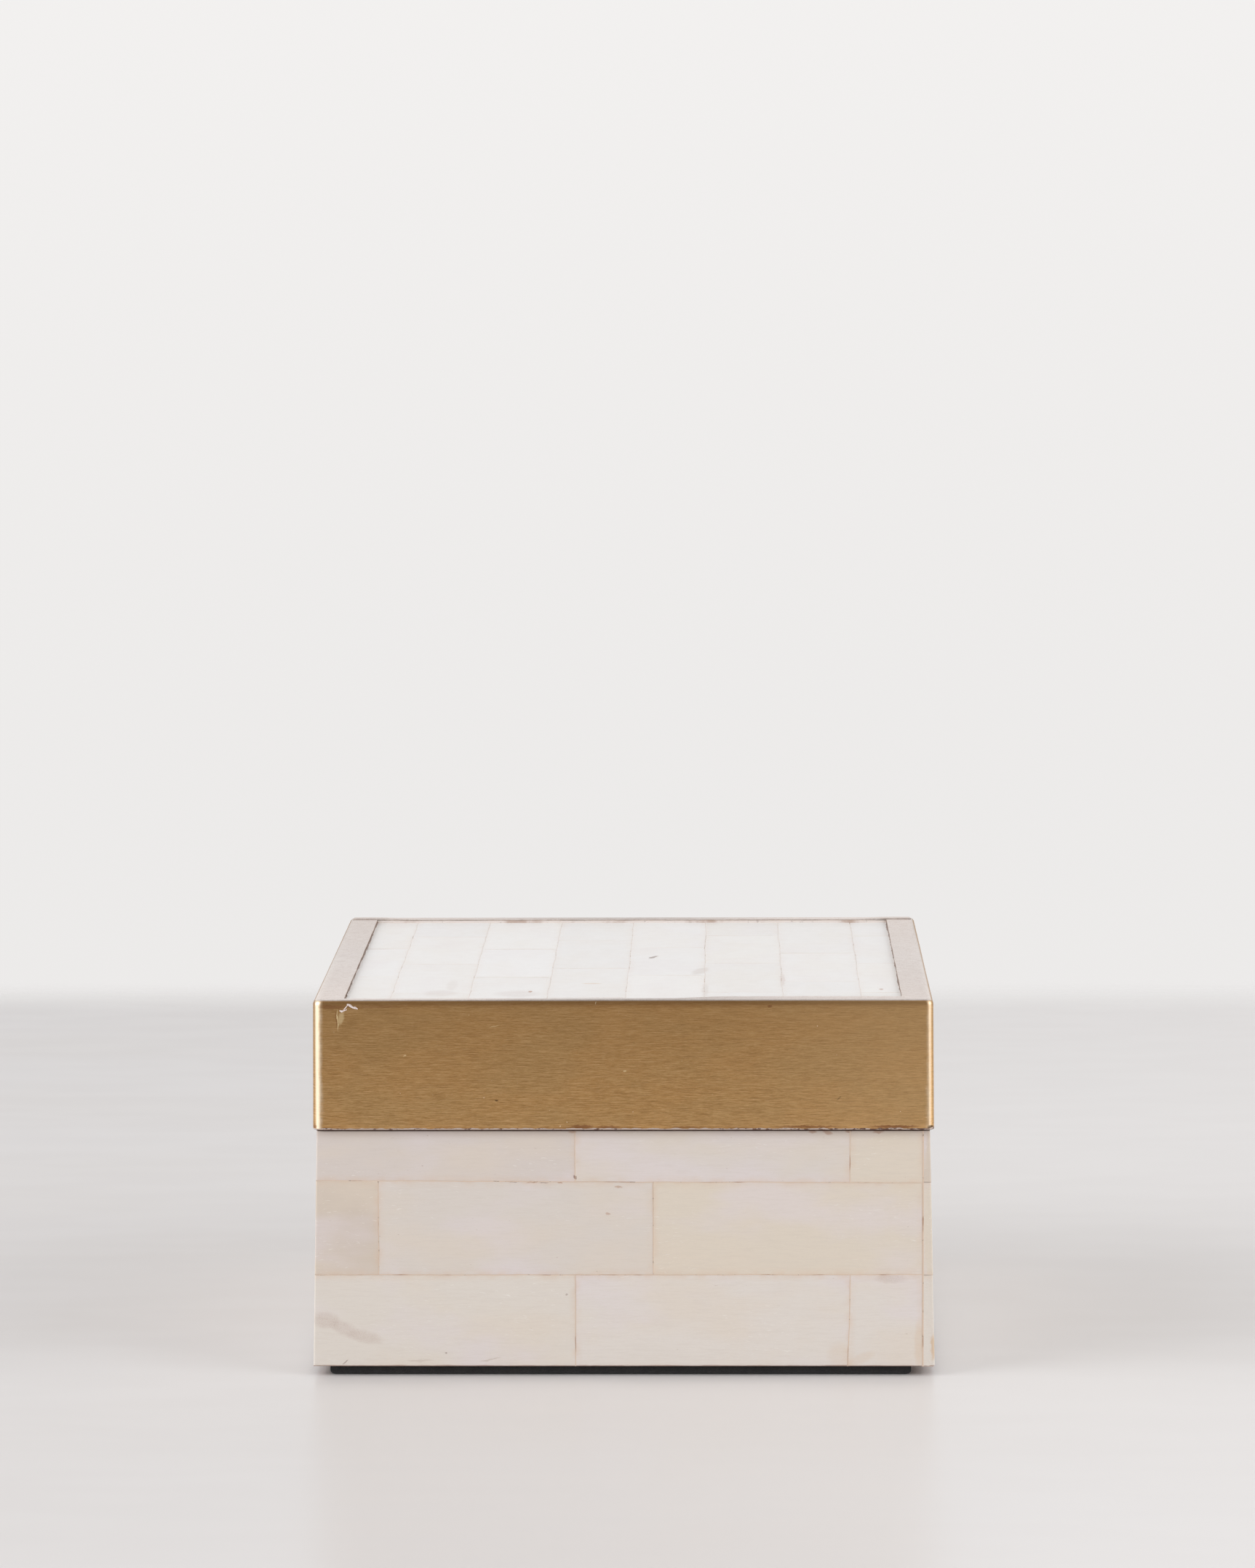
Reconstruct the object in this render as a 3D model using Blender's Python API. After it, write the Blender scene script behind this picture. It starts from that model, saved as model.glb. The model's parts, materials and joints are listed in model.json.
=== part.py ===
"""Square wooden box, tiled with bone, with a lift-off lid clad in brass. Metres, +Z up.

The origin is under the middle of the foot. The front faces -Y, and the lid lifts along +Z.

Base: four butt-jointed walls on a bottom board. The outside of each wall's top edge is cut
back, so that a tongue stands up inside the lid. Three courses of bone tiles cover the
walls. Each side's tiles run to the outer corner at their left end and stop against the
next side's tiles at their right end, so that the corners turn like a pinwheel.

Lid: a board on four rails, eight rows of bone strips across the top, and a brass band round
the edge that is folded over the ends of the strips.
"""

import math

import bmesh
import bpy

MM = 0.001
GAP = 0.3 * MM  # room left between pieces that touch or are glued together

# Driving dimensions.
LID_SIDE = 127.0 * MM
LID_HEIGHT = 26.9 * MM
COURSES = {"bottom": 19.2 * MM, "middle": 19.2 * MM, "top": 10.5 * MM}
FOOT_HALF = 63.9 * MM  # half the base's width over the bone, at the foot
SHOULDER_HALF = 62.9 * MM  # the same under the lid, where the bone is sanded thinner
CARCASS_HALF = 61.3 * MM
WALL = 8.0 * MM
BOTTOM_BOARD = 5.0 * MM
LIFT = 90.0 * MM  # how far the lid rises to be taken off

# Base fittings.
TONGUE = 5.0 * MM
TONGUE_CLEARANCE = 0.5 * MM
FELT = 1.7 * MM
FELT_MARGIN = {"left": 3.4 * MM, "right": 4.8 * MM, "front": 1.2 * MM, "back": 3.0 * MM}
LINING = 1.0 * MM

# Bone tiles on the sides. The first tile's length is counted from the lid's edge.
SIDE_TILE = 56.4 * MM
FIRST_TILE = {"bottom": 53.6 * MM, "middle": 13.2 * MM, "top": 53.6 * MM}
TILE_PLACES = ("left", "centre", "right")

# Bone strips on the lid, laid from front to back with staggered cross joints.
STRIP_ROWS = 8
STRIP_PITCH = 16.15 * MM
STRIP_OFFSET = 0.5 * MM  # the middle seam lies this far right of the lid's middle
STRIP_THICKNESS = 1.6 * MM
TOP_TILE = 42.5 * MM
FIRST_JOINT = 17.0 * MM
JOINT_SLIPS = tuple(slip * MM for slip in (0.0, -2.5, -0.5, -8.5, 2.0, -1.0, -7.0, -1.5))
JOINT_DEPTH = 0.6 * MM

# Lid.
BRASS = 0.4 * MM
BAND_CORNER = 1.4 * MM
BAND_EDGE = 1.1 * MM  # radius of the fold along the top
BAND_FLARE = 0.2 * MM  # how far the band's lower edge stands out
FLANGE = {"right": 6.3 * MM, "back": 4.5 * MM, "left": 6.3 * MM, "front": 4.0 * MM}
FLANGE_CORNER = 0.3 * MM
ARC_STEPS = 4
LID_BOARD = 6.0 * MM
RAIL = 4.5 * MM

# Edge rounding.
TILE_EASING = 0.15 * MM
WOOD_EASING = 0.4 * MM

# Levels, from the foot up.
BASE_BOTTOM = FELT + GAP
BASE_TOP = BASE_BOTTOM + sum(COURSES.values())
WALL_BOTTOM = BASE_BOTTOM + BOTTOM_BOARD + GAP
TONGUE_TOP = BASE_TOP + TONGUE
LID_BOTTOM = BASE_TOP + GAP
LID_TOP = LID_BOTTOM + LID_HEIGHT
STRIP_TOP = LID_TOP - BRASS - GAP
LID_BOARD_TOP = STRIP_TOP - STRIP_THICKNESS - GAP
RAIL_TOP = LID_BOARD_TOP - LID_BOARD - GAP

# Half widths.
BONE_BACK = CARCASS_HALF + GAP
WALL_INSIDE = CARCASS_HALF - WALL
LID_HALF = LID_SIDE / 2
LID_CORE = LID_HALF - BRASS - 2 * GAP
RAIL_INSIDE = LID_CORE - RAIL
TONGUE_OUTSIDE = RAIL_INSIDE - TONGUE_CLEARANCE

# Each side is the one before it, turned a quarter about +Z.
SIDES = ("front", "right", "back", "left")

# Colour, roughness and metallic value of each finish.
FINISHES = {
    "bone_pale": ((0.66, 0.60, 0.55, 1.0), 0.42, 0.0),
    "bone_warm": ((0.63, 0.56, 0.48, 1.0), 0.45, 0.0),
    "bone_rosy": ((0.66, 0.58, 0.54, 1.0), 0.42, 0.0),
    "bone_top": ((0.80, 0.78, 0.76, 1.0), 0.38, 0.0),
    "brushed_brass": ((0.56, 0.37, 0.16, 1.0), 0.34, 1.0),
    "carcass_wood": ((0.28, 0.15, 0.07, 1.0), 0.62, 0.0),
    "felt_foot": ((0.012, 0.012, 0.013, 1.0), 0.95, 0.0),
    "felt_lining": ((0.030, 0.027, 0.026, 1.0), 0.95, 0.0),
}
TILE_FINISHES = {
    "bottom": ("bone_rosy", "bone_pale", "bone_warm"),
    "middle": ("bone_warm", "bone_pale", "bone_warm"),
    "top": ("bone_pale", "bone_pale", "bone_warm"),
}


# --- Tools ---


def clear_scene():
    for thing in list(bpy.data.objects):
        bpy.data.objects.remove(thing, do_unlink=True)


def make_finishes():
    finishes = {}
    for name, (colour, roughness, metallic) in FINISHES.items():
        finish = bpy.data.materials.new(name)
        finish.use_nodes = True
        shader = finish.node_tree.nodes["Principled BSDF"]
        shader.inputs["Base Color"].default_value = colour
        shader.inputs["Roughness"].default_value = roughness
        shader.inputs["Metallic"].default_value = metallic
        finish.diffuse_color = colour
        finishes[name] = finish
    return finishes


def add_part(name, solid, finish, parent=None, turn=0):
    """Puts the bmesh in the scene, turned this many quarters about +Z."""
    bmesh.ops.recalc_face_normals(solid, faces=solid.faces)
    mesh = bpy.data.meshes.new(name)
    solid.to_mesh(mesh)
    solid.free()
    if finish is not None:
        mesh.materials.append(finish)
    part = bpy.data.objects.new(name, mesh)
    bpy.context.scene.collection.objects.link(part)
    part.rotation_euler.z = turn * math.pi / 2
    if parent is not None:
        part.parent = parent
        part.location = -parent.location
    return part


def ease_edges(part, width):
    bevel = part.modifiers.new("eased edges", "BEVEL")
    bevel.width = width
    bevel.segments = 1
    bevel.limit_method = "ANGLE"
    bevel.angle_limit = math.radians(40)


def skin_loops(loops):
    """The faces between each loop of vertices and the next, for every pair of neighbours."""
    for near, far in zip(loops, loops[1:]):
        for i in range(len(near)):
            j = (i + 1) % len(near)
            yield near[i], near[j], far[j], far[i]


def lofted(outlines):
    """A closed solid through these outlines, which all have as many points."""
    solid = bmesh.new()
    loops = [[solid.verts.new(point) for point in outline] for outline in outlines]
    for corners in skin_loops(loops):
        solid.faces.new(corners)
    solid.faces.new(loops[0])
    solid.faces.new(loops[-1])
    return solid


def square(half, z):
    return [(-half, -half, z), (half, -half, z), (half, half, z), (-half, half, z)]


def plate(half, low, high):
    return lofted([square(half, low), square(half, high)])


def stick(x_span, y_span, z_span):
    (left, right), (near, far) = x_span, y_span
    return lofted(
        [[(left, near, z), (right, near, z), (right, far, z), (left, far, z)] for z in z_span]
    )


# --- Base ---


def make_foot(finishes):
    """The felt was cut by eye, so its margins differ from side to side."""
    margin = FELT_MARGIN
    felt = stick(
        (-FOOT_HALF + margin["left"], FOOT_HALF - margin["right"]),
        (-FOOT_HALF + margin["front"], FOOT_HALF - margin["back"]),
        (0, FELT),
    )
    add_part("base_felt", felt, finishes["felt_foot"])


def make_rebate_cutter():
    """A square tube round the walls' top edge: what it takes off leaves the tongue."""
    outside = CARCASS_HALF + WALL
    over = TONGUE_TOP + WALL
    tube = bmesh.new()
    corners = (
        square(outside, BASE_TOP),
        square(outside, over),
        square(TONGUE_OUTSIDE, over),
        square(TONGUE_OUTSIDE, BASE_TOP),
    )
    loops = [[tube.verts.new(point) for point in loop] for loop in corners]
    for face in skin_loops(loops + loops[:1]):
        tube.faces.new(face)
    cutter = add_part("rebate_cutter", tube, None)
    cutter.hide_render = True
    cutter.display_type = "WIRE"
    return cutter


def make_carcass(finishes):
    wood = finishes["carcass_wood"]
    bottom = plate(CARCASS_HALF, BASE_BOTTOM, BASE_BOTTOM + BOTTOM_BOARD)
    ease_edges(add_part("bottom_board", bottom, wood), WOOD_EASING)

    cutter = make_rebate_cutter()
    for turn, side in enumerate(SIDES):
        solid = stick(
            (-CARCASS_HALF, WALL_INSIDE - GAP),
            (-CARCASS_HALF, -WALL_INSIDE),
            (WALL_BOTTOM, TONGUE_TOP),
        )
        wall = add_part("wall_" + side, solid, wood, turn=turn)
        rebate = wall.modifiers.new("rebate", "BOOLEAN")
        rebate.operation = "DIFFERENCE"
        rebate.object = cutter


def make_floor_lining(finishes):
    lining = plate(WALL_INSIDE - GAP, WALL_BOTTOM, WALL_BOTTOM + LINING)
    add_part("floor_lining", lining, finishes["felt_lining"])


def face_half(z):
    """Half the base's width over the bone at this height."""
    rise = (z - BASE_BOTTOM) / (BASE_TOP - BASE_BOTTOM)
    return FOOT_HALF + (SHOULDER_HALF - FOOT_HALF) * rise


def side_tile(left, right, low, high):
    """A tile on the front. One with no left end runs to the corner, and leans with it."""
    outlines = []
    for z in (low, high):
        outside = face_half(z)
        start = -outside if left is None else left
        outlines.append(
            [
                (start, -outside, z),
                (right, -outside, z),
                (right, -BONE_BACK, z),
                (start, -BONE_BACK, z),
            ]
        )
    return lofted(outlines)


def make_side_tiles(finishes):
    for turn, side in enumerate(SIDES):
        low = BASE_BOTTOM
        for course, height in COURSES.items():
            first_seam = FIRST_TILE[course] - LID_HALF
            seams = (first_seam, first_seam + SIDE_TILE)
            lefts = (None, seams[0] + GAP / 2, seams[1] + GAP / 2)
            rights = (seams[0] - GAP / 2, seams[1] - GAP / 2, BONE_BACK - GAP)
            top_gap = 0 if course == "top" else GAP
            for place, left, right, tone in zip(TILE_PLACES, lefts, rights, TILE_FINISHES[course]):
                solid = side_tile(left, right, low, low + height - top_gap)
                name = "_".join(("bone", side, course, place))
                ease_edges(add_part(name, solid, finishes[tone], turn=turn), TILE_EASING)
            low += height


# --- Lid ---


def make_lift_axis():
    axis = bpy.data.objects.new("lid_lift", None)
    axis.empty_display_type = "SINGLE_ARROW"
    axis.empty_display_size = LIFT
    axis.location.z = LID_BOTTOM
    bpy.context.scene.collection.objects.link(axis)
    return axis


def make_lid_carcass(finishes, lift):
    wood = finishes["carcass_wood"]
    board = plate(LID_CORE, LID_BOARD_TOP - LID_BOARD, LID_BOARD_TOP)
    ease_edges(add_part("lid_board", board, wood, lift), WOOD_EASING)
    for turn, side in enumerate(SIDES):
        rail = stick(
            (-LID_CORE, RAIL_INSIDE - GAP),
            (-LID_CORE, -RAIL_INSIDE),
            (LID_BOTTOM, RAIL_TOP),
        )
        ease_edges(add_part("lid_rail_" + side, rail, wood, lift, turn), WOOD_EASING)

    lining = plate(RAIL_INSIDE - GAP, RAIL_TOP - LINING, RAIL_TOP)
    add_part("lid_lining", lining, finishes["felt_lining"], lift)


def cross_joints(row):
    """Where the joints between one row's tiles lie, from back to front."""
    half_bond = TOP_TILE / 2 if row % 2 else 0
    joint = FIRST_JOINT + half_bond + JOINT_SLIPS[row]
    joints = []
    while joint > -LID_CORE:
        joints.append(joint)
        joint -= TOP_TILE
    return joints


def strip_solid(left, right, joints):
    """One row of tiles, drawn from its side: a bar with a groove across at every joint."""
    outline = [(-LID_CORE, STRIP_TOP - STRIP_THICKNESS), (LID_CORE, STRIP_TOP - STRIP_THICKNESS)]
    outline.append((LID_CORE, STRIP_TOP))
    for joint in joints:
        outline.append((joint + GAP / 2, STRIP_TOP))
        outline.append((joint, STRIP_TOP - JOINT_DEPTH))
        outline.append((joint - GAP / 2, STRIP_TOP))
    outline.append((-LID_CORE, STRIP_TOP))
    return lofted([[(x, y, z) for y, z in outline] for x in (left, right)])


def make_top_strips(finishes, lift):
    for row in range(STRIP_ROWS):
        left_seam = STRIP_OFFSET + (row - STRIP_ROWS / 2) * STRIP_PITCH
        right_seam = left_seam + STRIP_PITCH
        left = -LID_CORE if row == 0 else left_seam + GAP / 2
        right = LID_CORE if row == STRIP_ROWS - 1 else right_seam - GAP / 2
        strip = strip_solid(left, right, cross_joints(row))
        add_part(f"bone_top_row_{row + 1}", strip, finishes["bone_top"], lift)


def band_outline(insets, corner, z):
    """A rounded square, this far in from the lid's right, back, left and front."""
    right, back, left, front = insets
    corners = ((1, 1, right, back), (-1, 1, left, back), (-1, -1, left, front), (1, -1, right, front))
    points = []
    for quarter, (x_way, y_way, x_inset, y_inset) in enumerate(corners):
        x_centre = x_way * (LID_HALF - x_inset - corner)
        y_centre = y_way * (LID_HALF - y_inset - corner)
        for step in range(ARC_STEPS + 1):
            angle = (quarter + step / ARC_STEPS) * math.pi / 2
            points.append(
                (x_centre + corner * math.cos(angle), y_centre + corner * math.sin(angle), z)
            )
    return points


def even_outline(inset, z):
    """The band's outline at one level, with its corners rounder further out."""
    return band_outline([inset] * 4, max(BAND_CORNER - inset, FLANGE_CORNER), z)


def fold(radius):
    """Outlines round the fold along the top, from the side up to the flange."""
    centre = LID_TOP - BAND_EDGE
    for step in range(ARC_STEPS + 1):
        angle = step / ARC_STEPS * math.pi / 2
        inset = BAND_EDGE - radius * math.cos(angle)
        yield even_outline(inset, centre + radius * math.sin(angle))


def make_brass_band(finishes, lift):
    outside = [even_outline(-BAND_FLARE, LID_BOTTOM), *fold(BAND_EDGE)]
    inside = [even_outline(BRASS - BAND_FLARE, LID_BOTTOM), *fold(BAND_EDGE - BRASS)]
    flange_edge = [band_outline(FLANGE.values(), FLANGE_CORNER, z) for z in (LID_TOP, LID_TOP - BRASS)]
    band = bmesh.new()
    outlines = outside + flange_edge + inside[::-1]
    loops = [[band.verts.new(point) for point in outline] for outline in outlines]
    for face in skin_loops(loops + loops[:1]):
        band.faces.new(face)
    part = add_part("brass_band", band, finishes["brushed_brass"], lift)
    part.data.shade_smooth()
    part.data.set_sharp_from_angle(angle=math.radians(40))


def main():
    clear_scene()
    finishes = make_finishes()
    make_foot(finishes)
    make_carcass(finishes)
    make_floor_lining(finishes)
    make_side_tiles(finishes)
    lift = make_lift_axis()
    make_lid_carcass(finishes, lift)
    make_top_strips(finishes, lift)
    make_brass_band(finishes, lift)


main()
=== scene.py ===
"""An inlaid box on a pale table: bone tiles on a wooden carcass, and a lift-off lid clad in brushed brass.

Metres, +Z up, in the frame's own place. The box faces -Y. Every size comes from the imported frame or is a
named value below. Each side of the box is the one before it, turned a quarter about +Z, so a piece for any
side is drawn on the front and then turned.
"""

import json
import math
import random

import bmesh
import bpy
from mathutils import Matrix, Vector, noise


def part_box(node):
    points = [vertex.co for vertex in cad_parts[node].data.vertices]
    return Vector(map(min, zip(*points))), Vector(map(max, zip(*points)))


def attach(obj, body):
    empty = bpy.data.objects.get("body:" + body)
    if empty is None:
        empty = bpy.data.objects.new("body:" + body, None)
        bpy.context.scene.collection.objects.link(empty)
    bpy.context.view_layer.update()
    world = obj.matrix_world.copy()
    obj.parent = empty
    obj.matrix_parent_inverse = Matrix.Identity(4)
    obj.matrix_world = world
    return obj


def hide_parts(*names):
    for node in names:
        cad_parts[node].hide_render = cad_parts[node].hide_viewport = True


MM = 0.001

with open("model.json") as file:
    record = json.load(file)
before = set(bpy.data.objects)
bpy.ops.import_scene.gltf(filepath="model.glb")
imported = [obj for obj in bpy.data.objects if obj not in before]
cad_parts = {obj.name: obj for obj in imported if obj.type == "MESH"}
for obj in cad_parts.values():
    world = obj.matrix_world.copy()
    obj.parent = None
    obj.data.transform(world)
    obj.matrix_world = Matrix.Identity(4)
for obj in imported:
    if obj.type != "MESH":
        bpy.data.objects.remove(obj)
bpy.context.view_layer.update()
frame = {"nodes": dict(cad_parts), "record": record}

SIDES = ("front", "right", "back", "left")
COURSES = ("bottom", "middle", "top")
PLACES = ("left", "centre", "right")
LID_ROWS = sum(node.startswith("bone_top_row_") for node in frame["nodes"])
SLOTS = {part["node"]: part["material_slot"] for part in frame["record"]["subparts"]}

# Sizes read from the frame.
FOOT_LOW, FOOT_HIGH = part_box("bone_front_bottom_centre")
SHOULDER_LOW, SHOULDER_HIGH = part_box("bone_front_top_centre")
BAND_LOW, BAND_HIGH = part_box("brass_band")
BONE_BACK = -FOOT_HIGH.y
LID_BOTTOM = BAND_LOW.z
LID_TOP = BAND_HIGH.z
FLARE = 0.2 * MM
LID_HALF = BAND_HIGH.x - FLARE

# Bone tiles.
TIGHTEN = 0.105 * MM  # how much further than the CAD each tile reaches into its joints
TILE_RIM = 0.08 * MM  # radius of a tile's rim at a joint
OUTER_RIM = 0.3 * MM  # the same at the box's corners and along its foot
RIM_STOPS = tuple(stop * MM for stop in (0, 0.04, 0.1, 0.25, 0.5, 0.9, 1.5))
GRID = 1.3 * MM
WANDER = {"side": 0.11 * MM, "lid": 0.22 * MM}  # how far the joints stray from straight
STAIN = 1.5 * MM  # how far the joints' filler stains the bone
EDGE_WEAR = 0.02 * MM  # how much lower a tile's face lies at its edges
END_GAP = 0.05 * MM  # how far a lid tile stays clear of a cross joint's middle
RECESS = 0.02 * MM  # how far the filler lies below the bone
FILLER_LAP = 0.03 * MM  # how far the filler runs in under the bone
COURSE_SLOPE = 0.45 * MM  # how far the joint under the top course falls from left to right
TILT = {"side": 0.05 * MM, "lid": 0.045 * MM}  # how far out of true a tile's ends may lie
BENT_SEAM = 0.75 * MM  # how far the seam at the lower right bends over at its foot

# Brass.
BRASS = 0.4 * MM
CORNERS = tuple(radius * MM for radius in (1.6, 1.8, 1.8, 2.2))  # front right, then on round
FOLD = 1.1 * MM
CREASE = -58.45 * MM  # where the crease in the front is, from left to right
RUN_STEPS = 56
ARC_STEPS = 8
WALL_ROWS = 22
FOLD_STEPS = 8
TAB_ROWS = 7
SIDE_TAB = 6.3 * MM
BACK_TAB = 4.5 * MM
FRONT_TAB = {"left": 2.5 * MM, "right": 5.2 * MM}
TAB_SLIT = 0.08 * MM

# Table, and how bright the studio is in each direction.
TABLE_NEAR = -3.0
TABLE_FADE = 0.43
TABLE_END = 0.50
TABLE_HALF = 3.0
ROOM_LIGHT = 0.87
FRONT_LIGHT = 0.42
DIM_EDGES = (20, 45)
SIDE_LIGHT = {"left": 1.2, "right": 1.1}
TOP_LIGHT = 0.4

# Where the camera of the reference view stands.
CAMERA_AT = (0.0208, -1.2695, 0.2582)
CAMERA_YAW = -0.0163
CAMERA_PITCH = 0.112
CAMERA_ROLL = -0.0033
CAMERA_LENS = 136.9

# Bone colours, as linear values.
PALE = (0.785, 0.73, 0.68)
WARM = (0.765, 0.685, 0.585)
ROSY = (0.715, 0.645, 0.605)
GREY = (0.74, 0.68, 0.63)
IVORY = (0.775, 0.72, 0.66)
DULL = (0.685, 0.595, 0.51)
# The bottom course has the palest tones: partly the tiles' own tones, partly painted light thrown up from
# the table.
FRONT_TONES = {
    "bottom": (IVORY, PALE, PALE),
    "middle": (DULL, GREY, WARM),
    "top": (ROSY, GREY, WARM),
}


# --- Small tools ---


def smooth(low, high, value):
    """Rises from 0 at low to 1 at high, with level ends."""
    share = min(max((value - low) / (high - low), 0.0), 1.0)
    return share * share * (3 - 2 * share)


def ripple(x, y, z, length):
    """Smooth noise from -1 to 1 that changes over about this length."""
    return noise.noise(Vector((x, y, z)) / length)


def quarter_turns(turns):
    return Matrix.Rotation(turns * math.pi / 2, 3, "Z")


def side_half(z):
    """Half the base's width over the bone at this height."""
    rise = (z - FOOT_LOW.z) / (SHOULDER_LOW.z - FOOT_LOW.z)
    return -FOOT_LOW.y + (FOOT_LOW.y - SHOULDER_LOW.y) * rise


def make_object(name, mesh, finish, crease_angle=40):
    """Turns a bmesh into an object with smooth shading that breaks at sharp angles."""
    bmesh.ops.recalc_face_normals(mesh, faces=mesh.faces)
    data = bpy.data.meshes.new(name)
    mesh.to_mesh(data)
    mesh.free()
    data.materials.append(finish)
    data.shade_smooth()
    data.set_sharp_from_angle(angle=math.radians(crease_angle))
    piece = bpy.data.objects.new(name, data)
    bpy.context.scene.collection.objects.link(piece)
    return piece


def place_piece(piece, body, slot=None, stands_for=()):
    """Says which body carries the piece and what it replaces. Its slot is not used."""
    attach(piece, body)
    if stands_for:
        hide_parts(*stands_for)
    return piece


def skin(mesh, loops):
    """Faces between each closed loop of vertices and the next."""
    for near, far in zip(loops, loops[1:]):
        for i in range(len(near)):
            j = (i + 1) % len(near)
            mesh.faces.new((near[i], near[j], far[j], far[i]))


# --- Node materials ---


class Nodes:
    """Short ways to add nodes to a tree. Each gives the new node's output."""

    def __init__(self, tree):
        self.tree = tree

    def node(self, kind, sockets=None, **settings):
        made = self.tree.nodes.new(kind)
        for key, value in settings.items():
            setattr(made, key, value)
        for key, value in (sockets or {}).items():
            self.feed(made.inputs[key], value)
        return made

    def feed(self, socket, value):
        if isinstance(value, bpy.types.NodeSocket):
            self.tree.links.new(value, socket)
        else:
            socket.default_value = value

    def maths(self, operation, a, b=0.0):
        return self.node("ShaderNodeMath", {0: a, 1: b}, operation=operation).outputs[0]

    def plus(self, a, b):
        return self.maths("ADD", a, b)

    def minus(self, a, b):
        return self.maths("SUBTRACT", a, b)

    def times(self, a, b):
        return self.maths("MULTIPLY", a, b)

    def ramp(self, value, low, high, start=0.0, end=1.0):
        """Goes smoothly from start to end as the value goes from low to high."""
        sockets = {"Value": value, "From Min": low, "From Max": high, "To Min": start, "To Max": end}
        made = self.node("ShaderNodeMapRange", sockets, interpolation_type="SMOOTHSTEP")
        return made.outputs[0]


class Finish(Nodes):
    """A node material under construction. Its places are in millimetres in the row's frame."""

    def __init__(self, name):
        self.material = bpy.data.materials.new(name)
        self.material.use_nodes = True
        super().__init__(self.material.node_tree)
        self.shader = self.tree.nodes["Principled BSDF"]
        place = self.node("ShaderNodeTexCoord").outputs["Object"]
        self.mm = self.vector("SCALE", place, Scale=1 / MM)

    def set(self, name, value):
        self.feed(self.shader.inputs[name], value)

    def vector(self, operation, a, b=None, **named):
        sockets = {0: a, **named}
        if b is not None:
            sockets[1] = b
        made = self.node("ShaderNodeVectorMath", sockets, operation=operation)
        return made.outputs["Value" if operation == "LENGTH" else "Vector"]

    def noise(self, place, scale=1.0, detail=3.0, roughness=0.5):
        sockets = {"Vector": place, "Scale": scale, "Detail": detail, "Roughness": roughness}
        return self.node("ShaderNodeTexNoise", sockets).outputs["Fac"]

    def grain(self, place, scale, detail=3.0, roughness=0.5):
        """Noise that is drawn out along some axes: scale is its size along each, per millimetre."""
        return self.noise(self.vector("MULTIPLY", place, scale), 1.0, detail, roughness)

    def jitter(self, place, scale, amount):
        """The place, moved about by up to this many millimetres."""
        sockets = {"Vector": place, "Scale": scale, "Detail": 3.0}
        cloud = self.node("ShaderNodeTexNoise", sockets).outputs["Color"]
        centred = self.vector("SUBTRACT", cloud, (0.5, 0.5, 0.5))
        return self.vector("ADD", place, self.vector("SCALE", centred, Scale=2 * amount))

    def layer(self, name, output):
        """What the mesh stores under this name."""
        return self.node("ShaderNodeAttribute", attribute_name=name).outputs[output]

    def axis(self, place, which):
        return self.node("ShaderNodeSeparateXYZ", {0: place}).outputs[which]

    def mix(self, share, a, b):
        made = self.node("ShaderNodeMix", data_type="RGBA")
        self.feed(made.inputs["Factor"], share)
        self.feed(made.inputs["A"], a if isinstance(a, bpy.types.NodeSocket) else (*a, 1.0))
        self.feed(made.inputs["B"], b if isinstance(b, bpy.types.NodeSocket) else (*b, 1.0))
        return made.outputs["Result"]

    def tint(self, colour, value, low, high, share, tone):
        """Lays the tone over the colour, by up to this share, as the value goes from low to high."""
        return self.mix(self.ramp(value, low, high, 0.0, share), colour, tone)

    def blot(self, place, centre, size, turn):
        """1 inside an ellipsoid, 0 outside: its centre, its half sizes and its turn, in mm and degrees."""
        angles = tuple(math.radians(a) for a in turn)
        sockets = {"Vector": place, "Location": centre, "Rotation": angles, "Scale": size}
        local = self.node("ShaderNodeMapping", sockets, vector_type="TEXTURE").outputs[0]
        return self.ramp(self.vector("LENGTH", local), 1.0, 0.45)

    def bump(self, height, strength, distance, under=None):
        sockets = {"Height": height, "Strength": strength, "Distance": distance * MM}
        if under is not None:
            sockets["Normal"] = under
        return self.node("ShaderNodeBump", sockets).outputs[0]


# What a mark on the bone is made of: its colour, and whether it is a crowd of fine pores.
MARK_TONES = {
    "pores": ((0.46, 0.31, 0.26), True),
    "ochre": ((0.66, 0.44, 0.25), False),
    "tan": ((0.55, 0.46, 0.40), False),
    "rust": ((0.42, 0.19, 0.09), False),
    "dark": ((0.18, 0.075, 0.045), False),
}

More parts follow.
